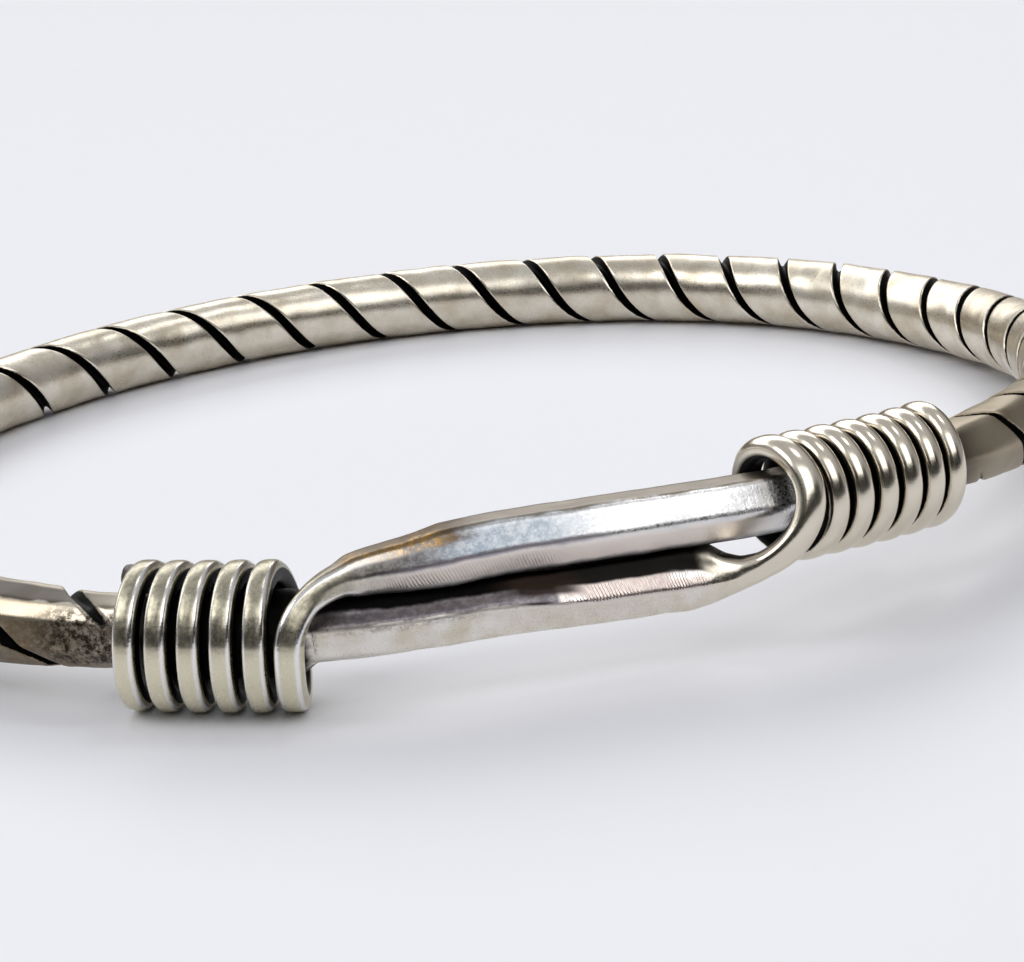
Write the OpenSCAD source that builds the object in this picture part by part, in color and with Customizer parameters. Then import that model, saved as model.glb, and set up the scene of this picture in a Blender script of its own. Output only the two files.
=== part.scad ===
// Twisted silver bangle of the adjustable kind, lying on a surface.
// It is one forged rod. Its middle is twisted into a band with two grooves. Its two plain ends cross
// at the front, one above the other, and each tapers to a wire that is wound round the other end.
// Angles go round the ring from the middle of the crossing, which faces -Y, towards +X.

/* [Ring] */
// Radius of the circle that the rod's middle line follows
ring_r = 31; // [29:0.5:34]
// Distance from the ring's middle to the straight bars of the crossing
cross_r = 30.8; // [29:0.1:34]
// How far the rod stands out of the circle at the left coil
left_out = 0.75; // [0:0.05:1]
// How far the rod stands out of the circle at the right coil
right_out = 0.3; // [0:0.05:1]

/* [Twisted band] */
// Half the band's thickness at the back
band_half = 2.0; // [1.8:0.05:2.1]
// Length of one full turn of the twist beside the right coil
lead_right = 7.2; // [6:0.2:12]
// Length of one full turn of the twist beside the left coil
lead_left = 12; // [8:0.2:14]
// Depth of the two grooves
groove_depth = 0.5; // [0.2:0.05:0.7]
// Half the angle that one groove takes of the round section
groove_half_angle = 17; // [12:1:22]
// Angle at which the twist starts, right of the crossing
twist_from = 37; // [36:1:50]
// Angle at which the twist ends, left of the crossing
twist_to = 31.1; // [31:0.1:50]
// Length over which the grooves fade out at each end
groove_fade = 4; // [2:0.5:8]

/* [Plain ends] */
// Half the flat-to-flat height of a bar where it starts to taper
bar_half = 1.18; // [1.05:0.01:1.2]
// Height of the lower bar's middle line above the surface
low_bar_z = 3.2; // [3.1:0.05:3.4]
// Distance from the lower bar's middle line up to the upper bar's
bar_apart = 2.7; // [2.65:0.05:2.9]
// How far the upper bar droops to its left end
left_droop = 0.45; // [0.3:0.05:0.6]
// How far the upper bar droops into the right coil
right_droop = 0.45; // [0.3:0.05:0.5]
// How far the lower bar's section is rolled towards the left coil
lower_roll = 20; // [0:1:25]
// Radius of the bend from the upper bar to its wire
left_bend_r = 4.3; // [4:0.05:4.6]
// Radius of the bend from the lower bar to its wire
right_bend_r = 6.3; // [5.8:0.1:6.4]

/* [Coils] */
// Diameter of the wire
wire_d = 1.0; // [0.8:0.05:1.05]
// Middle radius of the left coil
left_coil_r = 2.6; // [2.55:0.05:2.8]
// Middle radius of the right coil
right_coil_r = 2.2; // [2.1:0.05:2.4]
// Advance of the left coil with each turn
left_pitch = 1.26; // [1.22:0.005:1.35]
// Advance of the right coil with each turn
right_pitch = 1.25; // [1.24:0.005:1.35]
// Angle from the crossing's middle at which the left bend starts
left_start = 10.7; // [10:0.1:12]
// Angle from the crossing's middle at which the right bend starts
right_start = 7.2; // [7:0.1:9]
// Degrees that the wire turns round the lower bar
left_turn = 2140; // [1800:10:2160]
// Degrees that the wire turns round the upper bar
right_turn = 2450; // [2100:10:2520]
// How far the back of the left coil's first turn leans to the left
left_lean = 0.42; // [0:0.02:0.6]
// How far the back of the right coil's first turn leans to the left
right_lean = 1.08; // [0.8:0.02:1.1]
// How much more each further turn of the left coil leans to the left
left_lean_step = 0.11; // [0:0.01:0.25]
// How much more each further turn of the right coil leans to the right
right_lean_step = 0.32; // [0.2:0.01:0.34]
// How much wider than thick the left coil's first turn is
left_wide = 1.2; // [1:0.05:1.25]
// How much wider than thick the right coil's first turn is
right_wide = 1.25; // [1:0.05:1.25]
// Squareness of the left coil's worn wire, where 2 is round
left_square = 3; // [2:0.1:4]
// Squareness of the right coil's wire, where 2 is round
right_square = 2.3; // [2:0.1:4]

/* [Hidden] */

silver = [0.78, 0.75, 0.68];
mm_per_deg = ring_r * PI / 180;
wire_r = wire_d / 2;
LEFT = -1;
RIGHT = 1;

// Half thickness of the rod from its tapered end to the band: the angle past the crossing's middle,
// then the half thickness there.
upper_sizes = [
    [-10, bar_half],
    [14, bar_half + 0.02],
    [28, bar_half + 0.02],
    [35, bar_half + 0.08],
    [42, 0.78 * band_half],
    [50, 0.88 * band_half],
    [70, band_half]
];
lower_sizes = [
    [-10, bar_half + 0.05],
    [-3, bar_half],
    [10, bar_half],
    [26, bar_half + 0.15],
    [33, 0.78 * band_half],
    [46, 0.95 * band_half],
    [60, band_half]
];

function clamp(t) = max(0, min(1, t));
function smooth(t) = let (u = clamp(t)) u * u * (3 - 2 * u);
function mix(a, b, t) = a + (b - a) * t;
function unit(v) = v / norm(v);
function outward(a) = [sin(a), -cos(a), 0];
function place(a, r, z) = r * outward(a) + [0, 0, z];

// The bars are straight across the crossing and then bend into the ring. Each pair of angles below is
// where one change along the rod begins and where it has come to its end.
straight_angle = 25;
out_fade = [35, 80];
left_droop_span = [3, 17];
right_droop_span = [8, 33];
roll_spans = [[-33, -26], [-6, 4]];
upper_sink = [10, 120];
lower_sink = [40, 95];
function along(a, span) = smooth((a - span[0]) / (span[1] - span[0]));
function out(a) = (a < 0 ? left_out : right_out) * (1 - along(abs(a), out_fade));
function straight_r(a) = cross_r / cos(min(abs(a), straight_angle));
function rod_r(a) = mix(straight_r(a), ring_r + out(a), smooth(abs(a) / straight_angle));

// Heights of the two ends. Both sink to the back band, which lies on the surface.
function droop(a) = left_droop * along(-a, left_droop_span) + right_droop * along(a, right_droop_span);
function upper_z(a) = mix(low_bar_z + bar_apart - droop(a), band_half, along(a, upper_sink));
function lower_z(a) = mix(low_bar_z, band_half, along(-a, lower_sink));

// The rod runs rightwards from the upper bar, round the back and on to the lower bar at 360 degrees.
function near(a) = a < 180 ? a : a - 360;
function rod_z(a) = a < 180 ? upper_z(a) : lower_z(a - 360);
function rod_point(a) = place(a, rod_r(near(a)), rod_z(a));
function rod_half(a) = a < 180 ? lookup(a, upper_sizes) : lookup(360 - a, lower_sizes);

// The twist turns faster beside the right coil. It is stretched to a whole number of turns, so that the
// flat faces of both bars stand alike.
twist_end = 360 - twist_to;
twist_len = (twist_end - twist_from) * mm_per_deg;
rate_left = 360 / lead_left;
rate_right = 360 / lead_right;
twist_raw = twist_len * (rate_left + rate_right) / 2;
twist_fit = 360 * round(twist_raw / 360) / twist_raw;
function twist(a) =
    let (d = twist_len * clamp((twist_end - a) / (twist_end - twist_from)))
    twist_fit * (rate_left * d + (rate_right - rate_left) * d * d / (2 * twist_len));
// The lower bar's flats stand rolled between the left coil and the middle of the crossing.
function roll(a) = lower_roll * along(a - 360, roll_spans[0]) * (1 - along(a - 360, roll_spans[1]));
function groove_share(a) = smooth(min(a - twist_from, twist_end - a) * mm_per_deg / groove_fade);

// A wire end: w is the way along it from the start of its bend, and is negative on the bar. Unrolled
// from its coil, the rod is a straight bar, an arc of the bend's radius and a slanted wire.
// side is RIGHT for the lower bar's wire on the right coil, LEFT for the upper bar's on the left coil.
function pitch(side) = side == RIGHT ? right_pitch : left_pitch;
function full_turn(side) = side == RIGHT ? right_turn : left_turn;
function start(side) = side == RIGHT ? right_start : left_start;
function square_of(side) = side == RIGHT ? right_square : left_square;
function bend_r(side) = side == RIGHT ? right_bend_r : left_bend_r;
function bend_angle(side) = 90 - atan(pitch(side) / (2 * PI * left_coil_r));
function bend_len(side) = bend_r(side) * bend_angle(side) * PI / 180;
function bent(w, side) = min(w, bend_len(side)) / bend_r(side) * 180 / PI;
function past_bend(w, side) = max(0, w - bend_len(side));
function advance(w, side) =
    w < 0 ? w : bend_r(side) * sin(bent(w, side)) + past_bend(w, side) * cos(bend_angle(side));
function climb(w, side) =
    w < 0 ? 0 : bend_r(side) * (1 - cos(bent(w, side))) + past_bend(w, side) * sin(bend_angle(side));
function wound(w, side) = climb(w, side) / left_coil_r * 180 / PI;
function wire_len(side) =
    let (straight_climb = full_turn(side) * PI / 180 * left_coil_r - climb(bend_len(side), side))
    bend_len(side) + straight_climb / sin(bend_angle(side));

function wire_a(w, side) = side * (start(side) + advance(w, side) / mm_per_deg);
function wire_turn(w, side) = side * (wound(w, side) - 90);
function axis_z(a, side) = side == RIGHT ? upper_z(a) : left_coil_r + wire_r;
function bar_z(a, side) = side == RIGHT ? lower_z(a) : upper_z(a);
// A coil's first turns narrow or widen from the distance between the bars to the coil's own radius.
function settle_turn(side) = side == RIGHT ? 220 : 90;
function final_r(side) = side == RIGHT ? right_coil_r : left_coil_r;
function apart(a, side) = abs(axis_z(a, side) - bar_z(a, side));
function coil_r(w, side) =
    let (a = side * min(start(side), abs(wire_a(w, side))))
    mix(apart(a, side), final_r(side), smooth(wound(w, side) / settle_turn(side)));
function lean(w, side) =
    let (
        turns = wound(w, side) / 360,
        most = side == RIGHT ? right_lean - right_lean_step * turns : left_lean + left_lean_step * turns
    )
    most * (1 - cos(wire_turn(w, side))) / 2 * smooth(wound(w, side) / 90);
function wire_point(w, side) =
    let (a = wire_a(w, side) - lean(w, side) / mm_per_deg, turn = wire_turn(w, side), r = coil_r(w, side))
    place(a, rod_r(a) + r * cos(turn), axis_z(a, side) + r * sin(turn));

// The direction that a wire's worn face looks in. It leaves the ring's outward direction once the
// wire has come up to the middle of the front.
function wire_face(w, side) =
    let (a = wire_a(w, side), turn = side * max(0, side * wire_turn(w, side)))
    cos(turn) * outward(a) + [0, 0, sin(turn)];

// The share of bar that is left along the taper to wire: the way w, then the share. The upper bar
// narrows evenly and ends in a small step, and the lower bar narrows at once.
left_taper = [[-1.6, 1], [0.2, 0.74], [1, 0.61], [2.1, 0.46], [2.6, 0.22], [3.2, 0.14], [4.2, 0]];
right_taper = [[0, 1], [1.6, 0.93], [2.4, 0.72], [3.1, 0.45], [3.9, 0.18], [4.8, 0]];
function taper(side) = side == RIGHT ? right_taper : left_taper;
function bar_share(w, side) = lookup(w, taper(side));
// The first turn of each coil is wider along the coil than the others.
function wide_turns(side) = side == RIGHT ? [240, 480] : [150, 330];
function wide(w, side) =
    let (share = (1 - bar_share(w, side)) * (1 - along(wound(w, side), wide_turns(side))))
    mix(1, side == RIGHT ? right_wide : left_wide, share);

// Sections. Their points are set by polar angles from the face direction. A bar has pairs of points
// beside the corners of a hexagon, a wire has even points, and the band has a point in each groove
// and on each of its shoulders.
sides = 12;
corner_half_angle = 8;
corner_r = 1.08;
shoulder = groove_half_angle;
function bar_angle(k) = 60 * floor((k + 1) / 2) + (k % 2 == 0 ? 1 : -1) * corner_half_angle;
function wire_angle(k) = 15 + 30 * k;
function band_angle(k) =
    let (j = k % 6)
    180 * floor(k / 6) + (j == 0 ? 0 : mix(shoulder, 180 - shoulder, (j - 1) / 4));
function hexagon(p) = min(corner_r, 1 / cos(p - 60 * floor(p / 60) - 30));
function squarish(p, n) = pow(pow(abs(cos(p)), n) + pow(abs(sin(p)), n), -1 / n);
function groove(p) = max(0, 1 - abs(p - 180 * round(p / 180)) / groove_half_angle);

function rod_radius(p, a) =
    let (share = groove_share(a))
    rod_half(a) * mix(hexagon(p - roll(a)), 1, share) - groove_depth * share * groove(p - twist(a));
function wire_radius(p, w, side) =
    let (a = wire_a(w, side), half = rod_half(side == RIGHT ? a + 360 : a))
    mix(wire_r * squarish(p, square_of(side)), half * hexagon(p), bar_share(w, side));

function frame(ahead, face) =
    let (t = unit(ahead), u = unit(face - (face * t) * t))
    [u, cross(u, t)];
function section(centre, f, angles, radii, wide = 1) =
    [for (k = [0 : sides - 1]) centre + radii[k] * (cos(angles[k]) * f[0] + wide * sin(angles[k]) * f[1])];

slope_step = 0.01;
function rod_section(a) =
    let (
        f = frame(rod_point(a + slope_step) - rod_point(a - slope_step), outward(a)),
        turned = twist(a) + roll(a),
        angles = [for (k = [0 : sides - 1]) mix(bar_angle(k), band_angle(k), groove_share(a)) + turned]
    )
    section(rod_point(a), f, angles, [for (p = angles) rod_radius(p, a)]);
wire_roll = 30;
function wire_section(w, side, scale) =
    let (
        ahead = side * (wire_point(w + slope_step, side) - wire_point(w - slope_step, side)),
        f = frame(ahead, wire_face(w, side)),
        share = bar_share(w, side),
        turned = -wire_roll * side * (1 - share),
        angles = [for (k = [0 : sides - 1]) mix(wire_angle(k), bar_angle(k), share) + turned],
        radii = [for (p = angles) scale * wire_radius(p, w, side)]
    )
    section(wire_point(w, side), f, angles, radii, wide(w, side));

// Stations: about 24 degrees apart in the coils, wider in the bars and close together in the band.
coil_step = 24;
bar_step = 1.35;
band_rings = 212;
tip_scale = 0.75;
wires_from = -2;
rod_from = -left_start - wires_from / mm_per_deg;
rod_to = 360 + right_start + wires_from / mm_per_deg;
bar_rings = ceil((twist_from - rod_from) * mm_per_deg / bar_step);
rod_stations = [
    for (i = [0 : bar_rings - 1]) mix(rod_from, twist_from, i / bar_rings),
    for (i = [0 : band_rings - 1]) mix(twist_from, twist_end, i / band_rings),
    for (i = [0 : bar_rings]) mix(twist_end, rod_to, i / bar_rings)
];
function wire_sections(side) =
    let (n = ceil(full_turn(side) / coil_step))
    [for (i = [1 : n]) wire_section(mix(wires_from, wire_len(side), i / n), side, i == n ? tip_scale : 1)];
function reversed(list) = [for (i = [len(list) - 1 : -1 : 0]) list[i]];

// A sweep through sections of equally many points, closed by a flat face at each end.
module sweep(rings) {
    n = len(rings);
    points = [for (ring = rings) each ring];
    walls = [
        for (i = [0 : n - 2], k = [0 : sides - 1])
            let (a = i * sides + k, b = i * sides + (k + 1) % sides)
            each [[a, b, b + sides], [a, b + sides, a + sides]]
    ];
    first = [for (k = [sides - 1 : -1 : 0]) k];
    last = [for (k = [0 : sides - 1]) (n - 1) * sides + k];
    polyhedron(points = points, faces = concat(walls, [first, last]), convexity = 20);
}

module bangle() {
    rings = [
        each reversed(wire_sections(LEFT)),
        for (a = rod_stations) rod_section(a),
        each wire_sections(RIGHT)
    ];
    color(silver) sweep(rings);
}

bangle();
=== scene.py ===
"""Twisted silver bangle, lying on a pale surface.

The bangle is one forged rod of worn, oxidised silver. Its twisted band and its two plain ends are swept
along the rod's own middle line by one Geometry Nodes tree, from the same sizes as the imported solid.
Lengths in the sizes are millimetres and angles are degrees. Angles along the ring go from the middle of
the crossing, which faces -Y, towards +X.
"""

import logging
import math
from dataclasses import dataclass, field
from enum import Enum

import bpy
import numpy as np
from bpy.types import Material, Mesh, Node, NodeSocket, NodeTree, Object
from mathutils import Matrix, Vector


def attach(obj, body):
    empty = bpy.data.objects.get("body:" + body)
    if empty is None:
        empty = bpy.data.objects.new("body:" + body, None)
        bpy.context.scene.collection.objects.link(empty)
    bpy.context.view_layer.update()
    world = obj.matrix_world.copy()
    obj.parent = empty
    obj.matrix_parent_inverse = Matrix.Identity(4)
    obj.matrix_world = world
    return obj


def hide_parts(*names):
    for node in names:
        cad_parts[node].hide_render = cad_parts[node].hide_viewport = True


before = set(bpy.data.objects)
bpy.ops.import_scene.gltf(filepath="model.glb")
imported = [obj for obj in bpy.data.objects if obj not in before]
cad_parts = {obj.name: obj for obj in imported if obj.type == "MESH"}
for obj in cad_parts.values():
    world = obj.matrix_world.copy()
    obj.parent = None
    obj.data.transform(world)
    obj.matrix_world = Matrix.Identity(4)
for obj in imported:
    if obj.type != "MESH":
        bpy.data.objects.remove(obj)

log = logging.getLogger("bangle")

MM = 0.001
DEGREE = math.radians(1)
BODY = "root"
NODE = "bangle"
PHOTO_WIDTH = 1024
# The middle of what a noise gives.
NOISE_MIDDLE = 0.5
# The kinds of node that are used most. By number, a mix takes its share at 0, two numbers at 2 and 3 and two
# colours at 6 and 7. In order, a range takes its value, the two ends that it reads and those that it gives.
MATH = "ShaderNodeMath"
VECTOR_MATH = "ShaderNodeVectorMath"
MIX = "ShaderNodeMix"
RANGE = "ShaderNodeMapRange"
NOISE = "ShaderNodeTexNoise"
MAPPING = "ShaderNodeMapping"
ATTRIBUTE = "ShaderNodeAttribute"
NAMED = "GeometryNodeInputNamedAttribute"
STORE = "GeometryNodeStoreNamedAttribute"


Span = tuple[float, float]
Rows = tuple[tuple[float, float], ...]


class Side(Enum):
    """The two wire ends, named by the side of the crossing that their coil is on."""

    LEFT = -1
    RIGHT = 1


def linear(code: str) -> tuple[float, float, float, float]:
    """Turns a colour from how it is written into how it is rendered.

    Args:
        code: six hex digits of sRGB, such as "e8e2d4".

    Returns:
        Linear red, green and blue, and an alpha of 1.
    """
    shares = [int(code[i : i + 2], 16) / 255 for i in (0, 2, 4)]
    red, green, blue = (s / 12.92 if s <= 0.04045 else ((s + 0.055) / 1.055) ** 2.4 for s in shares)
    return red, green, blue, 1.0


class NodeBuilder:
    """Adds nodes to one tree."""

    def __init__(self, tree: NodeTree) -> None:
        """Keeps the tree that the nodes go into."""
        self.tree = tree

    def add(self, kind: str, inputs: dict | list | None = None, **settings: object) -> Node:
        """Adds a node with its settings and links.

        Args:
            kind: the node's type name.
            inputs: a value, a socket or a node for each input, by the input's name or number or in order.
            **settings: the node's own properties.

        Returns:
            The new node.
        """
        node = self.tree.nodes.new(kind)
        for name, value in settings.items():
            setattr(node, name, value)
        pairs = enumerate(inputs) if isinstance(inputs, list) else (inputs or {}).items()
        for key, value in pairs:
            if isinstance(value, Node):
                value = value.outputs[0]
            if isinstance(value, NodeSocket):
                self.tree.links.new(value, node.inputs[key])
            elif value is not None:
                node.inputs[key].default_value = value
        return node


def smooth(share: float) -> float:
    """Eases a share from 0 to 1, held at both ends."""
    share = min(max(share, 0.0), 1.0)
    return share * share * (3 - 2 * share)


def along(value: float, span: Span) -> float:
    """How far a value has come through a span, eased, from 0 to 1."""
    return smooth((value - span[0]) / (span[1] - span[0]))


def mix(low: float, high: float, share: float) -> float:
    """Goes from one value to another as share goes from 0 to 1."""
    return low + (high - low) * share


def looked_up(rows: Rows, at: float) -> float:
    """The value at a place in a short table of places and values, straight between its rows."""
    return float(np.interp(at, *zip(*rows)))


def signed(a: float) -> float:
    """A ring angle from 0 to 360 as one from -180 to 180. One below 0 stays as it is."""
    return a if a < 180 else a - 360


def add_object(name: str, data: bpy.types.ID) -> Object:
    """Puts a new object in the scene.

    Args:
        name: the object's name.
        data: its mesh, light or camera.

    Returns:
        The object.
    """
    made = bpy.data.objects.new(name, data)
    bpy.context.scene.collection.objects.link(made)
    return made


@dataclass(frozen=True)
class RodSizes:
    """The driving sizes of the rod, as in the part's own source."""

    ring_r: float = 31.0
    cross_r: float = 30.8
    left_out: float = 0.75
    right_out: float = 0.3
    band_half: float = 2.0
    lead_right: float = 7.2
    lead_left: float = 12.0
    groove_depth: float = 0.5
    groove_half_angle: float = 17.0
    twist_from: float = 37.0
    twist_end: float = 328.9
    groove_fade: float = 4.0
    bar_half: float = 1.18
    low_bar_z: float = 3.2
    bar_apart: float = 2.7
    left_droop: float = 0.45
    right_droop: float = 0.45
    lower_roll: float = 20.0
    wire_d: float = 1.0
    left_coil_r: float = 2.6
    straight_angle: float = 25.0
    corner_r: float = 1.1
    out_fade: Span = (35, 80)
    left_droop_span: Span = (3, 17)
    right_droop_span: Span = (8, 33)
    roll_spans: tuple[Span, Span] = ((-33, -26), (-6, 4))
    upper_sink: Span = (10, 120)
    lower_sink: Span = (40, 95)

    @property
    def mm_per_deg(self) -> float:
        """Length of one degree of the ring."""
        return math.radians(self.ring_r)


@dataclass(frozen=True)
class WireSizes:
    """The sizes of one wire end and its coil.

    The taper's rows are a way along the wire and a share of bar.
    """

    side: Side
    start: float
    bend_r: float
    pitch: float
    turns: float
    coil_r: float
    settle_turn: float
    lean: float
    lean_step: float
    squareness: float
    taper: Rows
    wide: float
    wide_turns: Span
    first_way: float = -2.0
    roll: float = 30.0


LEFT_WIRE = WireSizes(
    Side.LEFT, start=10.7, bend_r=4.3, pitch=1.26, turns=2127, coil_r=2.6, settle_turn=90, lean=0.42,
    lean_step=0.11, squareness=3, wide=1.2, wide_turns=(150, 330),
    taper=((-1.6, 1), (0.2, 0.74), (1, 0.61), (2.1, 0.46), (2.6, 0.22), (3.2, 0.14), (4.2, 0)),
)
RIGHT_WIRE = WireSizes(
    Side.RIGHT, start=7.2, bend_r=6.3, pitch=1.25, turns=2450, coil_r=2.2, settle_turn=220, lean=1.08,
    lean_step=-0.32, squareness=2.3, wide=1.25, wide_turns=(240, 480),
    taper=((0, 1), (1.6, 0.93), (2.4, 0.72), (3.1, 0.45), (3.9, 0.18), (4.8, 0)),
)


@dataclass
class Station:
    """One cross-section of the rod: where it stands, how it is turned and how it is shaped."""

    centre: Vector
    outward: Vector
    upward: Vector
    ring_angle: float
    half: float
    wire_half: float
    bar_share: float
    facet_share: float
    groove_share: float = 0.0
    twist: float = 0.0
    facet_roll: float = 0.0
    filed: float = 0.0
    scooped: float = 0.0
    crown: float = 0.0
    squareness: float = 2.0
    wide: float = 1.0
    rubbed: Vector | None = None
    coil_height: float = 0.0
    wound: float = 0.0
    scale: float = 1.0
    roll: float = 0.0
    way: float = 0.0


# The stations' sizes that shape the section, each with its unit, and the places that only the finish reads.
SHAPING = {
    "half": MM, "wire_half": MM, "bar_share": 1, "facet_share": 1, "groove_share": 1, "twist": DEGREE,
    "facet_roll": DEGREE, "filed": 1, "scooped": 1, "crown": MM, "squareness": 1, "wide": 1, "scale": 1,
    "roll": DEGREE, "way": 1,
}
DRESSING = {"ring_angle": 1, "coil_height": 1, "wound": 1}


class RodLine:
    """The middle line of the whole rod, with the sizes of its sections."""

    def __init__(self, sizes: RodSizes) -> None:
        """Keeps the sizes and works out the twist.

        Args:
            sizes: the rod's driving sizes.
        """
        s = self.sizes = sizes
        h, b = s.bar_half, s.band_half
        # Degrees from the crossing's middle, and half the rod's thickness there.
        self.upper_sizes = (
            (-10, h), (21.5, h + 0.02), (23.5, 1.55), (29, 1.55), (30.5, h + 0.05), (35, h + 0.08),
            (42, 0.78 * b), (50, 0.88 * b), (70, b),
        )
        self.lower_sizes = (
            (-10, h + 0.05), (-3, h), (10, h), (17.8, h + 0.07), (19.2, 1.8), (29.5, 1.8), (31, 1.5),
            (33, 0.78 * b), (46, 0.95 * b), (60, b),
        )
        self.twist_len = (s.twist_end - s.twist_from) * s.mm_per_deg
        self.rate_left = 360 / s.lead_left
        self.rate_right = 360 / s.lead_right
        raw = self.twist_len * (self.rate_left + self.rate_right) / 2
        self.twist_fit = 360 * round(raw / 360) / raw

    @staticmethod
    def outward(a: float) -> Vector:
        """The direction from the ring's middle at an angle."""
        return Vector((math.sin(math.radians(a)), -math.cos(math.radians(a)), 0))

    def at(self, a: float, out: float, up: float) -> Vector:
        """A point or a direction at an angle, from how far out and how far up it goes."""
        return out * self.outward(a) + Vector((0, 0, up))

    def radius(self, a: float) -> float:
        """Distance of the rod's middle line from the ring's middle.

        Args:
            a: angle from the crossing's middle, from -180 to 180.

        Returns:
            The distance in mm.
        """
        s = self.sizes
        out = (s.left_out if a < 0 else s.right_out) * (1 - along(abs(a), s.out_fade))
        straight = s.cross_r / math.cos(math.radians(min(abs(a), s.straight_angle)))
        return mix(straight, s.ring_r + out, smooth(abs(a) / s.straight_angle))

    def upper_z(self, a: float) -> float:
        """Height of the end that comes out of the right coil and crosses above.

        Args:
            a: angle from the crossing's middle, from -180 to 180.

        Returns:
            The height in mm.
        """
        s = self.sizes
        droop = s.left_droop * along(-a, s.left_droop_span) + s.right_droop * along(a, s.right_droop_span)
        return mix(s.low_bar_z + s.bar_apart - droop, s.band_half, along(a, s.upper_sink))

    def lower_z(self, a: float) -> float:
        """Height of the end that comes out of the left coil and crosses below."""
        return mix(self.sizes.low_bar_z, self.sizes.band_half, along(-a, self.sizes.lower_sink))

    def point(self, a: float) -> Vector:
        """The rod's middle at an angle, below 180 on the upper bar's half and past it on the lower bar's."""
        near = signed(a)
        return self.at(near, self.radius(near), self.upper_z(a) if a < 180 else self.lower_z(near))

    def half(self, a: float) -> float:
        """Half the rod's thickness at an angle, from the two short size tables."""
        return looked_up(self.upper_sizes, a) if a < 180 else looked_up(self.lower_sizes, 360 - a)

    def twist(self, a: float) -> float:
        """Degrees that the section is turned by the twist, which is tighter beside the right coil.

        Args:
            a: angle from the crossing's middle, from 0 to 360.

        Returns:
            The degrees.
        """
        s = self.sizes
        share = min(max((s.twist_end - a) / (s.twist_end - s.twist_from), 0), 1)
        d = self.twist_len * share
        quickening = (self.rate_right - self.rate_left) * d * d / (2 * self.twist_len)
        return self.twist_fit * (self.rate_left * d + quickening)

    def roll(self, a: float) -> float:
        """Degrees that the lower bar's flats stand rolled, from the left coil to the crossing's middle."""
        rise, fall = self.sizes.roll_spans
        return self.sizes.lower_roll * along(a - 360, rise) * (1 - along(a - 360, fall))

    def groove_share(self, a: float) -> float:
        """How far the two grooves are cut at an angle, from 0 to 1."""
        s = self.sizes
        return smooth(min(a - s.twist_from, s.twist_end - a) * s.mm_per_deg / s.groove_fade)


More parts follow.
